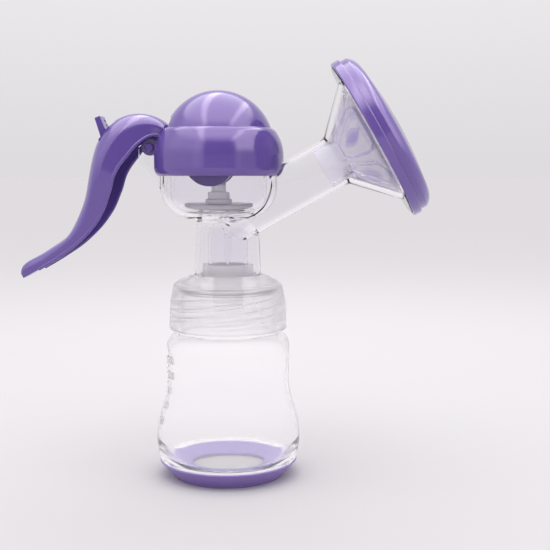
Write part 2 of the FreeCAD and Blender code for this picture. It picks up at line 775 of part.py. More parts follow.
def lever_section(body, number, hollow=False):
    """Three-centred arch across the lever: flat lip line, straight sides, round corners, flatter back."""
    lip_x, lip_height, back_x, back_height, half = [f"lever_{name}_{number}" for name in SECTION_NAMES]
    lean = f"atan2({back_x} - {lip_x}; {back_height} - {lip_height})"
    depth = f"sqrt(({back_x} - {lip_x})^2 + ({back_height} - {lip_height})^2)"
    side = f"({depth} * lever_side_share)"
    bottom = "0"
    rise = f"({depth} * (1 - lever_side_share))"
    if hollow:
        bottom, half, rise = "-lever_overcut", f"({half} - lever_wall)", f"({rise} - lever_wall)"
    corner = f"({rise} * lever_corner_share)"
    reach = f"({half} - {corner})"
    back = f"(({reach}^2 + {rise}^2 - {corner}^2) / (2 * ({rise} - {corner})))"
    share = f"({back} / ({back} - {corner}))"
    meet_x = f"{reach} * {share}"
    meet_y = f"{side} + {rise} - {back} + ({back} - {rise}) * {share}"
    name = f"hollow_{number}" if hollow else f"section_{number}"
    place = ("0", lip_height, lip_x)
    sketch = new_sketch(body, name, "YZ_Plane", place, FreeCAD.Vector(1, 0, 0), lean)
    return outline(sketch, [
        (f"-{half}", bottom),
        (half, bottom),
        (half, side),
        (meet_x, meet_y, "ccw", corner),
        (f"-({meet_x})", meet_y, "ccw", back),
        (f"-{half}", side, "ccw", corner),
    ])


def make_handle():
    """Channel lever with an arm to the pull rod, a pivot lug, and a mount for the level selector."""
    body = new_body("handle")
    sections = [lever_section(body, number) for number in range(len(LEVER_SECTIONS))]
    lofted(body, "lever_outside", sections)
    hollows = [lever_section(body, number, hollow=True) for number in range(HOLLOW_SECTIONS)]
    lofted(body, "lever_hollow", hollows, "SubtractiveLoft")
    add_arm(body)
    add_selector_mount(body)
    return body


def add_arm(body):
    """Arm with a round forked end for the pull rod's trunnion, and the lug on the pivot pin."""
    extruded(body, "arm", outline(new_sketch(body, "arm_outline"), [
        ("arm_root_x", "arm_root_bottom"),
        ("arm_end_x - arm_end_radius * 0.95", "arm_end_height - arm_end_radius * 0.3122"),
        ("arm_end_x", "arm_end_height - arm_end_radius", "ccw", "arm_end_radius"),
        ("arm_end_x + arm_end_radius", "arm_end_height", "ccw", "arm_end_radius"),
        ("arm_end_x", "arm_end_height + arm_end_radius", "ccw", "arm_end_radius"),
        ("lever_back_x_0", "lever_back_height_0 - lever_wall / 2"),
        ("arm_root_x", "arm_root_top"),
    ]), "arm_width")
    extruded(body, "pivot_lug", outline(new_sketch(body, "lug_outline"), [
        ("pivot_x - lug_radius", "pivot_height"),
        ("pivot_x", "pivot_height - lug_radius", "ccw", "lug_radius"),
        ("pivot_x + lug_radius", "pivot_height", "ccw", "lug_radius"),
        ("arm_root_x + lever_wall", "arm_root_bottom + lever_wall"),
        ("arm_root_x + lever_wall", "lug_top - lever_wall"),
        ("pivot_x + lug_radius", "lug_top"),
        ("pivot_x - lug_radius", "lug_top + lug_top_rise"),
    ]), "lug_width")
    slot = box_outline("arm_slot_left", "arm_end_height - arm_end_radius - 1",
                       "arm_end_x + arm_end_radius + 1", "arm_slot_top")
    extruded(body, "rod_slot", outline(new_sketch(body, "rod_slot_outline"), slot), "arm_slot_width", "Pocket")
    bend = "trunnion_slot_height / 2"
    reach = "(trunnion_slot_length / 2 - trunnion_slot_height / 2)"
    middle = "trunnion_slot_shift - cup_offset"
    extruded(body, "trunnion_slot", outline(new_sketch(body, "trunnion_slot_outline"), [
        (f"{middle} + {reach}", f"trunnion_height - {bend}"),
        (f"{middle} + {reach} + {bend}", "trunnion_height", "ccw", bend),
        (f"{middle} + {reach}", f"trunnion_height + {bend}", "ccw", bend),
        (f"{middle} - {reach}", f"trunnion_height + {bend}"),
        (f"{middle} - {reach} - {bend}", "trunnion_height", "ccw", bend),
        (f"{middle} - {reach}", f"trunnion_height - {bend}", "ccw", bend),
    ]), "arm_width * 2", "Pocket")
    hole = circle(new_sketch(body, "lug_hole_outline"), "pivot_x", "pivot_height", "pin_radius + pin_play")
    extruded(body, "lug_hole", hole, "lug_width * 1.5", "Pocket")


def selector_sketch(body, name, lift="0"):
    """A sketch at the selector's pin whose upright axis leans with the tab."""
    return new_sketch(body, name, move=("selector_x", "selector_height", lift), turn="selector_lean")


def add_selector_mount(body):
    """Slot in the lever's back for the tab, and two bosses that hold its pin."""
    slot = box_outline("selector_slot_left", "selector_slot_bottom", "selector_slot_right", "selector_slot_top")
    extruded(body, "tab_slot", outline(selector_sketch(body, "tab_slot_outline"), slot),
             "selector_slot_width", "Pocket")
    for side, name in (("", "near"), ("-", "far")):
        lift = f"{side}(selector_boss_gap + selector_boss_thickness) / 2"
        extruded(body, f"{name}_boss", outline(selector_sketch(body, f"{name}_boss_outline", lift), [
            ("-selector_boss_radius", "0"),
            ("0", "-selector_boss_radius", "ccw", "selector_boss_radius"),
            ("selector_boss_radius", "0", "ccw", "selector_boss_radius"),
            ("selector_boss_radius", "selector_boss_top_right"),
            ("-selector_boss_radius", "selector_boss_top_left"),
        ]), "selector_boss_thickness")
    hole = circle(selector_sketch(body, "boss_hole_outline"), "0", "0", "selector_pin_radius")
    extruded(body, "boss_hole", hole, "selector_pin_length + 2", "Pocket")


def make_level_selector():
    """Tab with three thumb ridges on a hub that turns on its pin inside the lever."""
    body = new_body("level_selector")
    corners = [
        ("-selector_hub_radius", "0"),
        ("0", "-selector_hub_radius", "ccw", "selector_hub_radius"),
        ("selector_hub_radius", "0", "ccw", "selector_hub_radius"),
        ("tab_right", "tab_web_top"),
    ]
    groove = "tab_left + tab_plate"
    for ridge in range(2):
        top = f"tab_web_top + tab_ridge_pitch * {ridge} + tab_ridge"
        above = f"tab_web_top + tab_ridge_pitch * {ridge + 1}"
        corners += [("tab_right", top), (groove, top), (groove, above), ("tab_right", above)]
    corners += [("tab_right", "tab_top"), ("tab_left", "tab_top")]
    extruded(body, "tab", outline(selector_sketch(body, "tab_outline"), corners), "selector_width")
    hole = circle(selector_sketch(body, "hub_hole_outline"), "0", "0", "selector_pin_radius + pin_play")
    extruded(body, "hub_hole", hole, "selector_width * 1.5", "Pocket")
    return body


def make_pin(label, radius, length, x, z):
    """Chamfered pin along Y."""
    half = f"({length}) / 2"
    return turned_body(label, [
        ("0", f"-{half}"),
        (f"{radius} - pin_chamfer", f"-{half}"),
        (radius, f"-({half} - pin_chamfer)"),
        (radius, f"{half} - pin_chamfer"),
        (f"{radius} - pin_chamfer", half),
        ("0", half),
    ], x=x, z=z, axis=FreeCAD.Vector(1, 0, 0), angle="-90")


# ---------------------------------------------------------------- funnel end

def on_funnel():
    """Placement of a piece whose upright axis is the funnel's axis."""
    return {"z": "funnel_height", "angle": "90 - funnel_elevation"}


def make_massage_cushion():
    """Silicone liner: sleeve in the funnel tube, cone, and a lip on the flange's front."""
    outer = "tube_bore - cushion_gap"
    cone = "cone_radius - cone_wall - cushion_gap"
    front = "flange_reach + flange_thickness"
    return turned_body("massage_cushion", [
        (f"{outer} - cushion_sleeve_wall", "cushion_sleeve_end"),
        (outer, "cushion_sleeve_end"),
        (outer, "throat_reach + cone_wall / 2 + cushion_gap"),
        (cone, "flange_reach + cone_wall / 2 + cushion_gap"),
        (cone, f"{front} + 0.05"),
        ("cushion_lip_radius", f"{front} + 0.05"),
        ("cushion_lip_radius", f"{front} + cushion_lip_thickness"),
        (f"{cone} - cushion_thickness / 2", f"{front} + cushion_lip_thickness"),
        (f"{outer} - cushion_sleeve_wall", "throat_reach + cone_wall / 2 + cushion_thickness * 1.4"),
    ], **on_funnel())


def make_funnel_lid():
    """Stepped, slightly domed lid whose skirt passes over the funnel's flange."""
    inner_depth = "lid_band_depth - lid_wall"
    return turned_body("funnel_lid", [
        ("lid_bore", "lid_back"),
        ("lid_radius - lid_edge", "lid_back"),
        ("lid_radius", "lid_back + lid_edge", "ccw", "lid_edge"),
        ("lid_radius", "lid_back + lid_skirt_depth - lid_edge"),
        ("lid_radius - lid_edge", "lid_back + lid_skirt_depth", "ccw", "lid_edge"),
        ("lid_band_radius", "lid_back + lid_skirt_depth"),
        ("lid_band_radius", "lid_back + lid_band_depth"),
        ("lid_crown_radius", "lid_back + lid_crown_depth", "ccw", "lid_edge_bend"),
        ("0", "lid_back + lid_depth", "ccw", "lid_crown_bend"),
        ("0", "lid_back + lid_depth - lid_wall"),
        ("lid_crown_radius", "lid_back + lid_crown_depth - lid_wall", "cw", "lid_crown_bend"),
        ("lid_band_radius - lid_wall", f"lid_back + {inner_depth}", "cw", "lid_edge_bend"),
        ("lid_band_radius - lid_wall", "lid_back + lid_skirt_depth"),
        ("lid_bore", "lid_back + lid_skirt_depth - lid_edge"),
    ], **on_funnel())


# ---------------------------------------------------------------- whole pump

def make_all():
    return [
        make_base_ring(),
        make_bottle(),
        make_screw_collar(),
        make_sealing_gasket(),
        make_pump_body(),
        make_duckbill_valve(),
        make_diaphragm(),
        make_pull_rod(),
        make_dome_cover(),
        make_handle(),
        make_pin("handle_pin", "pin_radius", "pin_length", "pivot_x", "pivot_height"),
        make_level_selector(),
        make_pin("selector_pin", "selector_pin_radius", "selector_pin_length", "selector_x", "selector_height"),
        make_massage_cushion(),
        make_funnel_lid(),
    ]


def check(pieces):
    """Stop if anything failed to build, or if a cut removed nothing."""
    for item in DOC.Objects:
        if "Invalid" in item.State or "Error" in item.State:
            raise RuntimeError(f"{item.Name} failed: {item.State}")
        if item.TypeId in ("PartDesign::Pocket", "PartDesign::Groove", "PartDesign::SubtractiveLoft"):
            if item.Shape.Volume >= item.BaseFeature.Shape.Volume - 0.01:
                raise RuntimeError(f"{item.Name} cuts nothing")
    for piece in pieces:
        if piece.Shape.isNull() or not piece.Shape.isValid():
            raise RuntimeError(f"{piece.Label} has no valid shape")
        if len(piece.Shape.Solids) != 1:
            raise RuntimeError(f"{piece.Label} has {len(piece.Shape.Solids)} solids")


def export(pieces):
    os.makedirs("parts", exist_ok=True)
    for piece in pieces:
        piece.Shape.exportStep(f"parts/{piece.Label}.step")
        print(f"{piece.Label}: {piece.Shape.Volume / 1000:.2f} cm3")


fill_sheet()
PIECES = make_all()
DOC.recompute()
check(PIECES)
export(PIECES)
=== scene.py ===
"""Looks of the hand-worked breast pump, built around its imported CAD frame.

Lengths are in millimetres until a mesh is made.
"""
import json
import math

import bpy
from mathutils import Matrix, Vector

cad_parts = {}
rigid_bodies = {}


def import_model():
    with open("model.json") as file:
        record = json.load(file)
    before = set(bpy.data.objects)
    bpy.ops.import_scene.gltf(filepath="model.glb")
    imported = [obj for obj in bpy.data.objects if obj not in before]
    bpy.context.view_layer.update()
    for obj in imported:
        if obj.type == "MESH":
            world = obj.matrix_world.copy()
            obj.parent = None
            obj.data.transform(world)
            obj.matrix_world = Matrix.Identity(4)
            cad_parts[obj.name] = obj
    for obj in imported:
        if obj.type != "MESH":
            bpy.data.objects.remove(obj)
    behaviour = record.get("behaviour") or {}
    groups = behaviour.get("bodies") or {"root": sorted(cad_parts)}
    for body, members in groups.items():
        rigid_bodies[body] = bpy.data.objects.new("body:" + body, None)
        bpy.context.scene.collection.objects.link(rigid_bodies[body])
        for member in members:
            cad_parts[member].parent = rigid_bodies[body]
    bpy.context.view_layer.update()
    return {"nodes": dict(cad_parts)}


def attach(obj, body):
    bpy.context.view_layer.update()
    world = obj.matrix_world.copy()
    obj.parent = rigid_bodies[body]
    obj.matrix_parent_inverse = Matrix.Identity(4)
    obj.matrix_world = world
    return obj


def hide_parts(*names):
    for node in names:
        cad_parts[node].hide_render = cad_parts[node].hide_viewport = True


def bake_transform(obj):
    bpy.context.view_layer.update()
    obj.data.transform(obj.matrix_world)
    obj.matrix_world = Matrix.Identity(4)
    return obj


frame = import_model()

MM = 0.001
SEGMENTS = 160
ARC_TURN = math.radians(5)
SHARP_TURN = math.radians(14)

CUP_X = -4.3
FUNNEL_HEIGHT = 125.0
FUNNEL_ELEVATION = 29.5

FOCAL_PIXELS = 1000
FRAME_PIXELS = 550
SENSOR_WIDTH = 36.0

# ---------------------------------------------------------------- materials


def linear(red, green, blue):
    """An sRGB colour of 0 to 255 as scene-linear values."""
    shares = [channel / 255 for channel in (red, green, blue)]
    return [c / 12.92 if c <= 0.04045 else ((c + 0.055) / 1.055) ** 2.4 for c in shares] + [1.0]


def add(tree, kind, **inputs):
    node = tree.nodes.new(kind)
    for name, amount in inputs.items():
        node.inputs[name.replace("_", " ")].default_value = amount
    return node


def link_or_set(tree, socket, amount):
    """Feed a socket from another socket, or give it a plain number."""
    if isinstance(amount, bpy.types.NodeSocket):
        tree.links.new(amount, socket)
    else:
        socket.default_value = amount


def math_step(tree, operation, first, second=0.0):
    """One math node on two amounts, each a socket or a number."""
    node = tree.nodes.new("ShaderNodeMath")
    node.operation = operation
    link_or_set(tree, node.inputs[0], first)
    link_or_set(tree, node.inputs[1], second)
    return node.outputs[0]


def plastic(name, colour, roughness, spread=0.03, grain=900.0, bump=0.02, tone=0.04, **sockets):
    """Moulded plastic or silicone: faint drifts of tone and gloss, and a fine moulded surface."""
    material = bpy.data.materials.new(name)
    material.use_nodes = True
    tree = material.node_tree
    shader = tree.nodes["Principled BSDF"]
    for socket, amount in sockets.items():
        shader.inputs[socket.replace("_", " ")].default_value = amount
    where = tree.nodes.new("ShaderNodeTexCoord")
    drift = add(tree, "ShaderNodeTexNoise", Scale=38.0, Detail=3.0, Roughness=0.5)
    tree.links.new(where.outputs["Object"], drift.inputs["Vector"])
    gloss = add(tree, "ShaderNodeMapRange", To_Min=max(roughness - spread, 0.0), To_Max=roughness + spread)
    tree.links.new(drift.outputs["Fac"], gloss.inputs["Value"])
    tree.links.new(gloss.outputs["Result"], shader.inputs["Roughness"])
    tint = tree.nodes.new("ShaderNodeMix")
    tint.data_type = "RGBA"
    tint.inputs["A"].default_value = [channel * (1 - tone) for channel in colour[:3]] + [1.0]
    tint.inputs["B"].default_value = [min(channel * (1 + tone), 1.0) for channel in colour[:3]] + [1.0]
    tree.links.new(drift.outputs["Fac"], tint.inputs["Factor"])
    tree.links.new(tint.outputs["Result"], shader.inputs["Base Color"])
    fine = add(tree, "ShaderNodeTexNoise", Scale=grain, Detail=2.0)
    tree.links.new(where.outputs["Object"], fine.inputs["Vector"])
    relief = add(tree, "ShaderNodeBump", Strength=bump, Distance=0.0004)
    tree.links.new(fine.outputs["Fac"], relief.inputs["Height"])
    tree.links.new(relief.outputs["Normal"], shader.inputs["Normal"])
    return material


PURPLE_GLOSS = {"spread": 0.02, "bump": 0.03, "IOR": 1.72, "Specular_Tint": [1.0, 0.88, 1.0, 1.0]}
PURPLE = plastic("purple_gloss", linear(98, 77, 155), 0.13, **PURPLE_GLOSS)
RING = plastic("ring_gloss", linear(138, 114, 184), 0.16, spread=0.02, bump=0.03, IOR=1.5)
# The two lighter tones below go on the base ring's upward faces under the bottle. They stand in for the
# cloudy bottle floor seen above them: partly that floor's own pale colour, partly painted light coming down
# through it.
SEAT_MILKY_AND_LIGHT = plastic("ring_seat_milky_and_light", linear(161, 150, 208), 0.35, spread=0.04, bump=0.04, IOR=1.4)
SEAT_RIM_MILKY_AND_LIGHT = plastic("ring_seat_rim_milky_and_light", linear(216, 209, 234), 0.35, spread=0.04, bump=0.04, IOR=1.4)
# Dark purple for two thin discs on the thumb tab: painted shade standing in for its grip recesses.
GRIP_PAINTED_SHADE = plastic("grip_painted_shade", linear(58, 42, 104), 0.3, bump=0.03, IOR=1.5)
CLEAR = plastic("clear_plastic", [0.97, 0.965, 0.985, 1.0], 0.05, spread=0.02, tone=0.006, bump=0.01,
                Transmission_Weight=1.0, IOR=1.13)
BOTTLE = plastic("bottle_plastic", [0.995, 0.993, 0.996, 1.0], 0.12, spread=0.03, tone=0.004, bump=0.015,
                 Transmission_Weight=0.95, IOR=1.11)
COLLAR = plastic("collar_plastic", [0.975, 0.97, 0.98, 1.0], 0.26, spread=0.04, tone=0.008, bump=0.03,
                 Transmission_Weight=0.8, IOR=1.18)
ROD = plastic("rod_plastic", [0.96, 0.93, 1.0, 1.0], 0.3, tone=0.03, bump=0.03,
              Transmission_Weight=0.55, IOR=1.18)
SILICONE = plastic("silicone", [0.98, 0.975, 0.988, 1.0], 0.12, spread=0.04, tone=0.006, bump=0.04,
                   Transmission_Weight=1.0, IOR=1.06)
CUSHION = plastic("cushion_silicone", [0.955, 0.945, 0.985, 1.0], 0.16, spread=0.04, tone=0.008, bump=0.04,
                  Transmission_Weight=0.8, IOR=1.12)
# Lilac for the cushion's pad slopes and inner swellings: painted refraction and reflection, standing in for
# the tinted edges that the clear silicone shows there.
PETAL_REFRACTION_PAINT = plastic("petal_refraction_paint", [0.75, 0.69, 0.93, 1.0], 0.2, spread=0.04, tone=0.008, bump=0.04,
                     Transmission_Weight=0.7, IOR=1.12)
VALVE = plastic("valve_silicone", [0.985, 0.975, 0.995, 1.0], 0.3, spread=0.04, tone=0.01, bump=0.04,
                Transmission_Weight=0.55, IOR=1.08)
LID = plastic("lid_gloss", linear(107, 86, 161), 0.13, **PURPLE_GLOSS)
BOTTLE_MARK = plastic("bottle_mark", [0.93, 0.925, 0.94, 1.0], 0.22, spread=0.03, tone=0.006, bump=0.02,
                      Transmission_Weight=0.7, IOR=1.3)
FLOOR = plastic("studio_floor", [0.58, 0.573, 0.58, 1.0], 0.7, spread=0.02, grain=60.0, bump=0.01, tone=0.004,
                Specular_IOR_Level=0.0)
SHADOWLESS = {CLEAR, BOTTLE, SILICONE, CUSHION, COLLAR}

# ---------------------------------------------------------------- outlines and turned meshes


def path(*corners):
    """Points through the corners. A corner with a turn, "ccw" or "cw", and a radius ends an arc."""
    points = [Vector(corners[0])]
    for corner in corners[1:]:
        start, end = points[-1], Vector(corner[:2])
        if len(corner) == 2:
            points.append(end)
            continue
        chord = end - start
        side = Vector((-chord.y, chord.x)).normalized() * (1 if corner[2] == "ccw" else -1)
        centre = (start + end) / 2 + side * math.sqrt(max(corner[3] ** 2 - chord.length_squared / 4, 0.0))
        first = math.atan2(start.y - centre.y, start.x - centre.x)
        last = math.atan2(end.y - centre.y, end.x - centre.x)
        sweep = (last - first) % math.tau if corner[2] == "ccw" else -((first - last) % math.tau)
        steps = max(3, math.ceil(abs(sweep) / ARC_TURN))
        for step in range(1, steps + 1):
            angle = first + sweep * step / steps
            points.append(centre + corner[3] * Vector((math.cos(angle), math.sin(angle))))
    return points


def eased(points, reach, closed=True):
    """The same line with a small round at each sharp corner, and straight runs held flat beside it."""
    result = []
    count = len(points)
    for index, point in enumerate(points):
        if not closed and index in (0, count - 1):
            result.append(point)
            continue
        before, after = points[index - 1] - point, points[(index + 1) % count] - point
        turn = math.pi - before.angle(after)
        if turn < SHARP_TURN:
            result.append(point)
            continue
        cut = min(reach, before.length * 0.4, after.length * 0.4)
        hold = min(cut * 1.5, before.length * 0.48), min(cut * 1.5, after.length * 0.48)
        result.append(point + before.normalized() * hold[0])
        steps = max(3, math.ceil(turn / math.radians(22)))
        for step in range(steps + 1):
            share = step / steps
            a, b = before.normalized() * cut, after.normalized() * cut
            result.append(point + a * (1 - share) ** 2 + b * share ** 2)
        result.append(point + after.normalized() * hold[1])
    return result


def divided(points, low, high, step):
    """The same closed line with its upright runs between two heights cut into short pieces."""
    result = []
    for start, end in zip(points, points[1:] + points[:1]):
        result.append(start)
        inside = low < (start.y + end.y) / 2 < high and abs(end.y - start.y) > step
        if inside:
            count = math.ceil(abs(end.y - start.y) / step)
            result += [start.lerp(end, piece / count) for piece in range(1, count)]
    return result


def placed(x=0.0, z=0.0, tilt=0.0):
    return Matrix.Translation((x * MM, 0, z * MM)) @ Matrix.Rotation(math.radians(tilt), 4, "Y")


UPRIGHT = placed()
CUP = placed(x=CUP_X)
FUNNEL = placed(z=FUNNEL_HEIGHT, tilt=90 - FUNNEL_ELEVATION)


def mesh_piece(name, vertices, faces, material):
    mesh = bpy.data.meshes.new(name)
    mesh.from_pydata(vertices, [], faces)
    mesh.validate()
    mesh.materials.append(material)
    mesh.polygons.foreach_set("use_smooth", [True] * len(mesh.polygons))
    piece = bpy.data.objects.new(name, mesh)
    bpy.context.scene.collection.objects.link(piece)
    return piece


def lathe(name, points, material, where=UPRIGHT, closed=True, shape=None, segments=SEGMENTS):
    """Turned mesh. Points go counter-clockwise as (radius, height); shape changes a point by its angle."""
    vertices, rings = [], []
    for point in points:
        if point.x < 1e-6:
            rings.append([len(vertices)] * segments)
            vertices.append(where @ Vector((0, 0, point.y * MM)))
            continue
        rings.append(range(len(vertices), len(vertices) + segments))
        for segment in range(segments):
            angle = math.tau * segment / segments
            radius, height = shape(angle, point.x, point.y) if shape else (point.x, point.y)
            spot = Vector((radius * math.cos(angle), radius * math.sin(angle), height)) * MM
            vertices.append(where @ spot)
    faces = []
    count = len(rings)
    for index in range(count if closed else count - 1):
        low, high = rings[index], rings[(index + 1) % count]
        for segment in range(segments):
            following = (segment + 1) % segments
            corners = [low[segment], low[following], high[following], high[segment]]
            face = [c for place, c in enumerate(corners) if c not in corners[:place]]
            if len(face) > 2:
                faces.append(face)
    return mesh_piece(name, vertices, faces, material)


def rides(piece, body):
    """The piece moves with a body."""
    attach(piece, body)


def stands_for(piece, node, body):
    """The piece takes the place of a CAD node, on its body."""
    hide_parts(node)
    rides(piece, body)


def smoothstep(share):
    share = min(max(share, 0.0), 1.0)
    return share * share * (3 - 2 * share)


# ---------------------------------------------------------------- bottle and collar

THREAD_STARTS = 4
THREAD_LEAD = 16.0
THREAD_DEPTH = 1.1


def thread_height(angle, height, base):
    """How much of its full depth the thread has here, for a ridge whose first start is at base."""
    pitch = THREAD_LEAD / THREAD_STARTS
    turns = (height - base) / pitch - angle / math.tau * THREAD_STARTS
    away = abs(turns - round(turns)) * pitch
    ends = smoothstep((height - base + 0.8) / 1.2) * smoothstep((base + 12.9 - height) / 1.2)
    return smoothstep((0.95 - away) / 0.55) * ends


def bottle_shape(angle, radius, height):
    if 23.2 < radius < 23.6 and 74 < height < 89.6:
        radius += THREAD_DEPTH * thread_height(angle, height, 75.5)
    return radius, height


def collar_shape(angle, radius, height):
    if 24.9 < radius < 25.1 and 74.5 < height < 92:
        radius -= THREAD_DEPTH * thread_height(angle, height, 77.5)
    return radius, height


BOTTLE_WALL = [
    (33.7, 8.2), (35.4, 19, "ccw", 35.1), (32.7, 34, "ccw", 43.03), (30.0, 49, "cw", 43.03), (30.3, 63.5)]
BOTTLE_SIDE = path(*BOTTLE_WALL)
SEAT_RADIUS = 33.3


def make_bottle():
    outline = path(
        (0, 2.4), (18.6, 2.4), (28.2, 8.2), *BOTTLE_WALL, (25.4, 71.6, "ccw", 8.0), (23.4, 71.6),
        (23.4, 90.4), (21.8, 90.4), (21.8, 70.0), (28.7, 63.5, "cw", 8.0), (28.4, 49),
        (31.1, 34, "ccw", 43.03), (33.8, 19, "cw", 43.03), (28.2, 9.8, "cw", 17.5), (18.6, 4.0), (0, 4.0))
    outline = divided(eased(outline, 0.5, closed=False), 73, 90, 0.4)
    bottle = lathe("feeding_bottle", outline, BOTTLE, closed=False, shape=bottle_shape)
    stands_for(bottle, "bottle", "bottle_base")
    ring = path(
        (18.6, 0), (27.0, 0), (28.0, 1.0, "ccw", 1.0), (34.0, 7.6), (33.5, 8.1, "ccw", 0.5), (28.2, 8.1),
        (18.6, 2.25))
    foot = lathe("foot_ring", eased(ring, 0.4), RING)
    foot.data.materials.append(SEAT_MILKY_AND_LIGHT)
    foot.data.materials.append(SEAT_RIM_MILKY_AND_LIGHT)
    # Upward faces under the bottle take the lighter tones, and the level ring top the palest: the cloudy
    # bottle floor's colour together with painted light through it.
    for face in foot.data.polygons:
        faces_up, is_level = face.normal.z > 0.5, face.normal.z > 0.95
        if faces_up and face.center.xy.length < SEAT_RADIUS * MM:
            face.material_index = 2 if is_level else 1
    stands_for(foot, "base_ring", "bottle_base")
    make_scale()


def surface_radius(height):
    """Radius of the bottle's turned outline at a height."""
    for start, end in zip(BOTTLE_SIDE, BOTTLE_SIDE[1:]):
        if start.y <= height <= end.y:
            share = (height - start.y) / max(end.y - start.y, 1e-6)
            return start.x + (end.x - start.x) * share
    return BOTTLE_SIDE[-1].x


def on_bottle(angle, height, proud):
    radius = surface_radius(height) + proud
    return Vector((radius * math.cos(angle), radius * math.sin(angle), height)) * MM


def wrapped(name, vertices, faces, middle):
    """Flat mesh in millimetres, x along the wall and y up, laid on the bottle's left side as low relief."""
    spots = [on_bottle(middle + x / surface_radius(y), y, 0.02 + z) for x, y, z in vertices]
    piece = mesh_piece(name, spots, faces, BOTTLE_MARK)
    rides(piece, "bottle_base")


def make_scale():
    """Moulded measuring scale up the bottle's left side: ticks, and a number at each longer one."""
    middle = math.radians(198)
    vertices, faces = [], []
    for tick in range(15):
        height = 24.0 + 2.5 * tick
        long_tick = tick % 3 == 2
        columns = 9 if long_tick else 5
        width = 6.0 if long_tick else 3.4
        first = len(vertices)
        for column in range(columns + 1):
            x = -width * column / columns
            vertices += [(x, height - 0.35, 0.0), (x, height - 0.15, 0.3), (x, height + 0.15, 0.3),
                         (x, height + 0.35, 0.0)]
        for column in range(columns):
            for row in range(3):
                corner = first + column * 4 + row
                faces.append((corner, corner + 4, corner + 5, corner + 1))
    wrapped("scale_ticks", vertices, faces, middle)
    for step, words in enumerate(("30", "60", "90", "120", "150")):
        data = bpy.data.curves.new(f"scale_{words}", "FONT")
        data.body, data.size, data.extrude, data.bevel_depth = words, 5.4, 0.12, 0.06
        data.align_y = "CENTER"
        label = bpy.data.objects.new("scale_words", data)
        bpy.context.scene.collection.objects.link(label)
        flat = bpy.data.meshes.new_from_object(label.evaluated_get(bpy.context.evaluated_depsgraph_get()))
        bpy.data.objects.remove(label)
        shift = Vector((1.4, 29.0 + 7.5 * step, 0.1))
        spots = [tuple(corner.co + shift) for corner in flat.vertices]
        wrapped(f"scale_number_{words}", spots, [tuple(face.vertices) for face in flat.polygons], middle)


def paint_thread_shade(material, pitch, lead, low, high):
    """Faint slanted bands of painted shade between two heights, standing in for the threads seen through the
    collar. They don't follow the modelled thread.
    """
    tree = material.node_tree
    shader = tree.nodes["Principled BSDF"]
    parts = tree.nodes.new("ShaderNodeSeparateXYZ")
    tree.links.new(tree.nodes.new("ShaderNodeTexCoord").outputs["Object"], parts.inputs[0])
    across, depth, up = parts.outputs

    def step(operation, first, second=0.0):
        return math_step(tree, operation, first, second)

    angle = step("ARCTAN2", depth, across)
    climb = step("SUBTRACT", up, step("MULTIPLY", angle, lead / math.tau))
    wave = step("SINE", step("MULTIPLY", climb, math.tau / pitch))
    inside = step("MULTIPLY", step("GREATER_THAN", up, low), step("LESS_THAN", up, high))
    tone = step("MULTIPLY", step("MULTIPLY", step("ADD", wave, 1.0), 0.5), inside)
    mix = tree.nodes.new("ShaderNodeMix")
    mix.data_type = "RGBA"
    mix.blend_type = "MULTIPLY"
    before = shader.inputs["Base Color"].links[0].from_socket
    tree.links.new(step("MULTIPLY", tone, 0.6), mix.inputs["Factor"])
    tree.links.new(before, mix.inputs["A"])
    mix.inputs["B"].default_value = (0.90, 0.895, 0.915, 1.0)
    tree.links.new(mix.outputs["Result"], shader.inputs["Base Color"])


def make_collar():
    outline = path(
        (25.0, 73.0), (28.2, 73.0), (28.8, 73.6, "ccw", 0.6), (28.8, 78.0), (26.7, 94.0, "ccw", 60.0),
        (25.7, 95.5, "ccw", 1.8), (17.2, 99.8, "ccw", 30.0), (17.2, 98.0), (21.6, 93.7), (25.0, 93.7))
    outline = divided(eased(outline, 0.4), 73.5, 93, 0.4)
    collar = lathe("threaded_collar", outline, COLLAR, shape=collar_shape)
    # Painted shade: darker slanted bands for the threads seen through the translucent collar.
    paint_thread_shade(COLLAR, pitch=2.4 * MM, lead=9.6 * MM, low=75.5 * MM, high=95 * MM)
    stands_for(collar, "screw_collar", "collar")
    seal = path((19.8, 90.4), (23.4, 90.4), (23.4, 91.6), (19.8, 91.6))
    stands_for(lathe("neck_seal", eased(seal, 0.35), SILICONE), "sealing_gasket", "head")


# ---------------------------------------------------------------- under the cover

def make_diaphragm():
    """Silicone cup with its flange and floor, set in place as one piece; it is not attached to the head or
    the pull rod.
    """
    outline = path(
        (0, 129.6), (13.9, 129.6), (23.4, 139.1, "ccw", 9.5), (23.4, 152.0), (28.6, 152.0), (28.6, 153.5),
        (21.9, 153.5), (21.9, 139.1), (13.9, 131.1, "cw", 8.0), (0, 131.1))
    outline = divided(eased(outline, 0.5, closed=False), 139, 152, 1.0)
    membrane = lathe("membrane", outline, SILICONE, where=CUP, closed=False)
    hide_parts("diaphragm")
    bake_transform(membrane)


def make_rod():
    """Stepped rod with its disc on the membrane's floor, and the cross pin at its head."""
    outline = path(
        (0, 131.2), (13.6, 131.2), (16.7, 132.3), (16.7, 134.0), (6.4, 134.0), (6.4, 136.4), (5.3, 136.4),
        (5.3, 139.9), (3.5, 139.9), (3.5, 160.5), (0, 160.5))
    outline = eased(outline, 0.45, closed=False)
    rod = lathe("stepped_rod", outline, ROD, where=CUP, closed=False, segments=96)
    stands_for(rod, "pull_rod", "rod")
    pin = path((0, -6.4), (1.8, -6.4), (2.2, -6.0), (2.2, 6.0), (1.8, 6.4), (0, 6.4))
    across = Matrix.Translation((CUP_X * MM, 0, 0.158)) @ Matrix.Rotation(math.radians(90), 4, "X")
    pin = eased(pin, 0.3, closed=False)
    trunnion = lathe("rod_trunnion", pin, ROD, where=across, closed=False, segments=48)
    rides(trunnion, "rod")


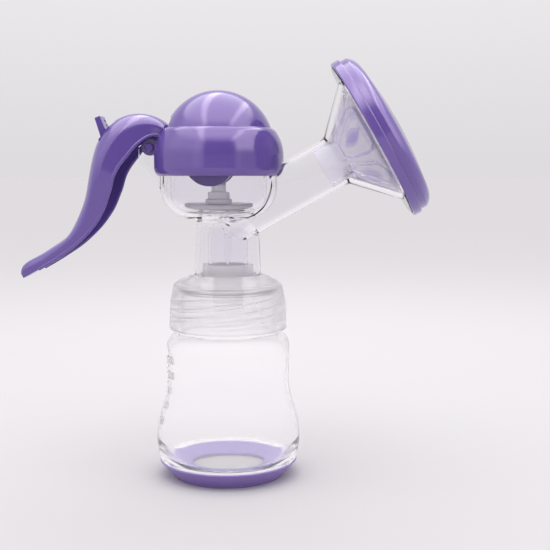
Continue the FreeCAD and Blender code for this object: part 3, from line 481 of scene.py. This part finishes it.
def ringed(name, rings, material, segments=SEGMENTS):
    """Closed tube of elliptic rings, each given as half length, half depth and height."""
    vertices = []
    for length, depth, height in rings:
        for segment in range(segments):
            angle = math.tau * segment / segments
            vertices.append(Vector((length * math.cos(angle), depth * math.sin(angle), height)) * MM)
    faces = []
    for ring in range(len(rings)):
        low, high = ring * segments, (ring + 1) % len(rings) * segments
        for segment in range(segments):
            following = (segment + 1) % segments
            faces.append((low + segment, low + following, high + following, high + segment))
    return mesh_piece(name, vertices, faces, material)


def make_valve():
    """Duckbill: a socket on the milk tube, whose bill flattens to a slit."""
    corners = [
        (5.5, 0.1, 83.0), (7.4, 1.5, 83.0), (8.4, 8.4, 97.7), (12.4, 12.4, 97.7), (12.4, 12.4, 104.6),
        (9.95, 9.95, 104.6), (9.95, 9.95, 98.85), (7.2, 7.2, 98.85), (6.5, 0.7, 84.1), (5.5, 0.1, 83.9)]
    rings = []
    for index, corner in enumerate(corners):
        here = Vector(corner)
        before = Vector(corners[index - 1]) - here
        after = Vector(corners[(index + 1) % len(corners)]) - here
        rings += [here + before * min(0.25 / before.length, 0.3), here,
                  here + after * min(0.25 / after.length, 0.3)]
    stands_for(ringed("valve_bill", rings, VALVE), "duckbill_valve", "head")


PETALS = 5
CONE_START, CONE_LENGTH = 62.9, 18.4
LIP_RADIUS = 31.0


def petal_relief(angle, height):
    """How far the pad and its inner swelling stand out at a place on the cushion's cone, each from 0 to 1."""
    along = (height - CONE_START) / CONE_LENGTH
    if not 0.0 < along < 1.02:
        return 0.0, 0.0
    turn = (angle / math.tau * PETALS) % 1.0 - 0.5
    across = abs(turn) * 2
    edge = 0.86 - 0.35 * smoothstep((0.35 - along) / 0.35) - 0.30 * smoothstep((along - 0.72) / 0.28)
    ends = smoothstep((along - 0.1) / 0.12) * smoothstep((0.97 - along) / 0.12)
    pad = smoothstep((edge - across) / 0.16) * ends
    leaf = 0.30 * math.sin(math.pi * min(max((along - 0.3) / 0.5, 0.0), 1.0))
    inner = smoothstep((leaf - across) / 0.12)
    return pad, inner


def cushion_shape(angle, radius, height):
    """Five soft pads on the cushion's cone, hollowed behind, with creases that fork between them."""
    if radius > LIP_RADIUS:
        return radius, height
    pad, inner = petal_relief(angle, height)
    return radius - 1.03 * pad - 0.48 * inner, height


def make_cushion():
    """Soft liner of the cone. Its sleeve goes down the funnel's tube, and its lip lies on the flange."""
    outline = path(
        (8.9, 53.0), (10.5, 53.0), (10.5, CONE_START), (29.9, CONE_START + CONE_LENGTH), (29.9, 82.35),
        (38.8, 82.35), (38.8, 83.7), (28.6, 83.7), (8.9, 66.34))
    outline = eased(outline, 0.4)
    fine = []
    for start, end in zip(outline, outline[1:] + outline[:1]):
        count = max(1, math.ceil((end - start).length / 0.8)) if min(start.y, end.y) > 60 else 1
        fine += [start.lerp(end, piece / count) for piece in range(count)]
    cushion = lathe("petal_cushion", fine, CUSHION, where=FUNNEL, shape=cushion_shape, segments=240)
    cushion.data.materials.append(PETAL_REFRACTION_PAINT)
    upright = FUNNEL.inverted()
    # Pad slopes and inner swellings take the lilac: painted refraction and reflection of the clear silicone
    # at those edges.
    for face in cushion.data.polygons:
        spot = (upright @ face.center) / MM
        pad, inner = petal_relief(math.atan2(spot.y, spot.x), spot.z)
        on_cone = spot.z > 63.5 and math.hypot(spot.x, spot.y) < 29.5
        if on_cone and (0.2 < pad < 0.8 or inner > 0.3):
            face.material_index = 1
    stands_for(cushion, "massage_cushion", "head")


def make_notch_lip():
    """Short flared lip of the dome's notch, over the funnel's tube."""
    root = 29.0
    rings = [
        (12.95, root), (12.95, 33.5), (13.3, 37.4), (13.6, 37.9), (13.85, 37.4), (13.75, 33.5), (13.7, root)]
    vertices, faces = [], []
    steps = 40
    for step in range(steps + 1):
        share = step / steps
        angle = math.radians(180 + 52 * (share * 2 - 1))
        fade = math.sin(math.pi * share) ** 0.5
        for radius, reach in rings:
            height = root + (reach - root) * fade
            spot = Vector((radius * math.cos(angle), radius * math.sin(angle), height)) * MM
            vertices.append(FUNNEL @ spot)
    count = len(rings)
    for step in range(steps):
        for ring in range(count):
            low, high = step * count, (step + 1) * count
            following = (ring + 1) % count
            faces.append((low + ring, low + following, high + following, high + ring))
    faces += [tuple(range(count)), tuple(range(steps * count + count - 1, steps * count - 1, -1))]
    lip = mesh_piece("notch_lip", vertices, faces, PURPLE)
    rides(lip, "cover")


# Each place along the lever's edge: x, z, and the lever's half width there.
LEVER_LIP = [
    (-29.5, 166.6, 8.4), (-35.3, 166.9, 10.3), (-40.4, 164.2, 11.8), (-46.2, 158.0, 13.5),
    (-52.6, 149.1, 14.0), (-55.6, 140.0, 13.2), (-60.4, 129.1, 11.2), (-70.8, 116.8, 8.8),
    (-82.1, 108.4, 6.8), (-92.9, 101.9, 5.5)]


def make_lever_beads():
    """Raised bead along each free edge of the channel lever."""
    for name, side in (("near", -1), ("far", 1)):
        curve = bpy.data.curves.new(f"lever_bead_{name}", "CURVE")
        curve.dimensions = "3D"
        curve.bevel_depth = 0.85 * MM
        curve.bevel_resolution = 5
        curve.resolution_u = 12
        spline = curve.splines.new("BEZIER")
        spline.bezier_points.add(len(LEVER_LIP) - 1)
        for point, (x, z, half) in zip(spline.bezier_points, LEVER_LIP):
            point.co = Vector((x, side * (half - 0.45), z + 0.2)) * MM
            point.handle_left_type = point.handle_right_type = "AUTO"
        shown = bpy.data.objects.new("bead_curve", curve)
        bpy.context.scene.collection.objects.link(shown)
        tube = bpy.data.meshes.new_from_object(shown.evaluated_get(bpy.context.evaluated_depsgraph_get()))
        bpy.data.objects.remove(shown)
        tube.materials.clear()
        tube.materials.append(PURPLE)
        tube.polygons.foreach_set("use_smooth", [True] * len(tube.polygons))
        bead = bpy.data.objects.new(f"lever_bead_{name}", tube)
        bpy.context.scene.collection.objects.link(bead)
        rides(bead, "lever")


def make_selector():
    """Thumb tab: a leaning plate with a round hub on its pin, and two thin dark discs of painted shade where
    its grip recesses would be.
    """
    hub, left, right, top = 3.0, -1.8, 1.0, 13.2
    outline = [(left, top)]
    outline += [(hub * math.cos(math.radians(turn)), hub * math.sin(math.radians(turn)))
                for turn in range(180, 361, 15)]
    outline += [(right, 7.0), (right, top)]
    place = Matrix.Translation(Vector((-57.3, 0, 164.2)) * MM) @ Matrix.Rotation(math.radians(-22.5), 4, "Y")
    half = 5.2
    count = len(outline)
    vertices = [place @ (Vector((x, side * half, z)) * MM) for side in (-1, 1) for x, z in outline]
    faces = [tuple(range(count)), tuple(range(2 * count - 1, count - 1, -1))]
    for index in range(count):
        following = (index + 1) % count
        faces.append((following, index, index + count, following + count))
    tab = mesh_piece("thumb_tab", vertices, faces, PURPLE)
    rounding = tab.modifiers.new("edge_rounding", "BEVEL")
    rounding.width, rounding.segments, rounding.limit_method = 0.3 * MM, 3, "ANGLE"
    rounding.harden_normals = True
    stands_for(tab, "level_selector", "selector")
    # Painted shade: two thin dark discs laid on the flat face where the grip recesses would be.
    for number, height in enumerate((8.6, 11.0)):
        disc = path((0, 0), (0.62, 0), (0.62, 0.04), (0, 0.07))
        at = Matrix.Translation(Vector((right, 2.4, height)) * MM) @ Matrix.Rotation(math.radians(90), 4, "Y")
        stretch = Matrix.Diagonal((1.0, 2.8, 1.0, 1.0))
        shade_disc = lathe(f"grip_mark_{number}", disc, GRIP_PAINTED_SHADE, where=place @ at @ stretch, segments=40)
        rides(shade_disc, "selector")


def make_lid():
    rim_height = 80.6
    outline = path(
        (39.9, 0), (40.9, 0), (41.5, 0.6, "ccw", 0.6), (41.5, 3.6), (40.9, 4.2, "ccw", 0.6), (40.3, 4.2),
        (40.3, 7.4), (33.0, 11.6, "ccw", 8.0), (0, 14.6, "ccw", 183.0), (0, 12.9), (33.0, 9.9, "cw", 183.0),
        (38.6, 5.7, "cw", 8.0), (38.6, 4.2), (39.9, 3.6))
    outline = [Vector((point.x, point.y + rim_height)) for point in eased(outline, 0.25)]
    stands_for(lathe("lid_shell", outline, LID, where=FUNNEL), "funnel_lid", "lid")


# ---------------------------------------------------------------- studio

def make_floor():
    bpy.ops.mesh.primitive_circle_add(vertices=128, radius=90.0, fill_type="NGON")
    floor = bpy.context.object
    floor.name = "studio_floor"
    floor.data.materials.append(FLOOR)


def softbox(name, place, target, width, height, power):
    data = bpy.data.lights.new(name, "AREA")
    data.shape = "RECTANGLE"
    data.size, data.size_y, data.energy = width, height, power
    lamp = bpy.data.objects.new(name, data)
    lamp.location = place
    lamp.rotation_euler = (Vector(target) - Vector(place)).to_track_quat("-Z", "Y").to_euler()
    lamp.visible_camera = False
    lamp.visible_transmission = False
    lamp.visible_glossy = False
    bpy.context.scene.collection.objects.link(lamp)


def make_room():
    """Pale room whose strength depends on the kind of ray.

    Camera and refracted rays see a plain sky, mirrored rays see soft boxes over a dark front wall, and
    everything else is lit by a third, smooth strength.
    """
    world = bpy.data.worlds.new("pale_room")
    bpy.context.scene.world = world
    world.use_nodes = True
    tree = world.node_tree
    background = tree.nodes["Background"]

    def math_node(operation, first, second=0.0):
        return math_step(tree, operation, first, second)

    def total(*amounts):
        result = amounts[0]
        for amount in amounts[1:]:
            result = math_node("ADD", result, amount)
        return result

    def scaled(first, second):
        return math_node("MULTIPLY", first, second)

    def between(first, second, share):
        """First where the share is 0, second where it is 1."""
        return total(scaled(first, math_node("SUBTRACT", 1.0, share)), scaled(second, share))

    def window(amount, start, end, low=0.0, high=1.0):
        node = tree.nodes.new("ShaderNodeMapRange")
        node.interpolation_type = "SMOOTHSTEP"
        for socket, setting in zip(("Value", "From Min", "From Max", "To Min", "To Max"),
                                   (amount, start, end, low, high)):
            link_or_set(tree, node.inputs[socket], setting)
        return node.outputs["Result"]

    def strip(amount, middle, half, soft):
        away = math_node("ABSOLUTE", math_node("SUBTRACT", amount, middle))
        return window(away, half + soft, half)

    parts = tree.nodes.new("ShaderNodeSeparateXYZ")
    tree.links.new(tree.nodes.new("ShaderNodeTexCoord").outputs["Generated"], parts.inputs[0])
    across, depth, up = parts.outputs
    turn = math_node("ARCTAN2", across, scaled(depth, -1.0))
    sky = window(up, -0.05, 0.3, 0.72, 0.88)
    behind = window(depth, -0.25, 0.35)
    front = total(
        0.10,
        window(turn, -0.30, -0.36, 0.0, 0.85), scaled(strip(turn, -0.56, 0.07, 0.06), 0.30),
        window(turn, 0.57, 0.63, 0.0, 0.45), scaled(strip(turn, 0.74, 0.05, 0.05), 0.25))
    high_boxes = scaled(window(up, 0.06, 0.38), total(
        window(turn, 0.57, 0.8, 0.0, 2.2), window(turn, -0.30, -0.5, 0.0, 0.6)))
    walls = between(total(front, high_boxes), sky, behind)
    overhead = between(window(up, 0.50, 0.86), window(up, 0.60, 0.70), behind)
    slope = math_node("MAXIMUM", up, 0.2)
    aside, along = math_node("DIVIDE", across, slope), math_node("DIVIDE", depth, slope)
    strips = total(
        strip(aside, total(scaled(along, 0.19), -0.34), 0.06, 0.07),
        strip(aside, total(scaled(along, -0.08), 0.62), 0.05, 0.07))
    mirrored = between(walls, total(3.0, scaled(strips, 2.4)), overhead)
    lighting = total(window(depth, -0.9, 0.6, 0.74, 0.92), window(up, 0.3, 0.95, 0.0, 0.75))
    rays = tree.nodes.new("ShaderNodeLightPath").outputs
    through = rays["Is Transmission Ray"]
    seen = math_node("MAXIMUM", rays["Is Camera Ray"], through)
    open_air = math_node("LESS_THAN", rays["Transmission Depth"], 0.5)
    glossy = scaled(scaled(rays["Is Glossy Ray"], math_node("SUBTRACT", 1.0, through)), open_air)
    link_or_set(tree, background.inputs["Strength"], between(between(lighting, sky, seen), mirrored, glossy))
    background.inputs["Color"].default_value = [1.0, 0.975, 1.0, 1.0]


def make_studio():
    make_floor()
    softbox("top_box", (0, 0.45, 0.62), (0, 0.45, 0), 0.5, 0.35, 0.9)
    softbox("front_box", (0, -0.25, 0.95), (0, -0.1, 0), 0.7, 0.6, 1.7)
    make_room()
    bpy.context.scene.view_settings.view_transform = "Standard"


def make_camera():
    data = bpy.data.cameras.new("photo_camera")
    data.sensor_width = SENSOR_WIDTH
    data.lens = SENSOR_WIDTH * FOCAL_PIXELS / FRAME_PIXELS
    camera = bpy.data.objects.new("photo_camera", data)
    azimuth, pitch = math.radians(3.5), math.radians(5.69)
    camera.location = (0.05307, -0.48767, 0.148)
    level = math.cos(pitch)
    forward = Vector((-math.sin(azimuth) * level, math.cos(azimuth) * level, -math.sin(pitch)))
    camera.rotation_euler = forward.to_track_quat("-Z", "Y").to_euler()
    bpy.context.scene.collection.objects.link(camera)
    bpy.context.scene.camera = camera


# ---------------------------------------------------------------- whole scene

NODE_MATERIALS = {
    "pump_body": CLEAR,
    "dome_cover": PURPLE,
    "handle": PURPLE,
    "handle_pin": PURPLE,
    "selector_pin": PURPLE,
}

make_camera()
make_studio()
for node, material in NODE_MATERIALS.items():
    data = frame["nodes"][node].data
    data.materials.clear()
    data.materials.append(material)
make_bottle()
make_collar()
make_diaphragm()
make_rod()
make_valve()
make_cushion()
make_notch_lip()
make_lever_beads()
make_selector()
make_lid()

for piece in bpy.data.objects:
    if piece.type == "MESH" and SHADOWLESS & {slot.material for slot in piece.material_slots}:
        piece.visible_shadow = False
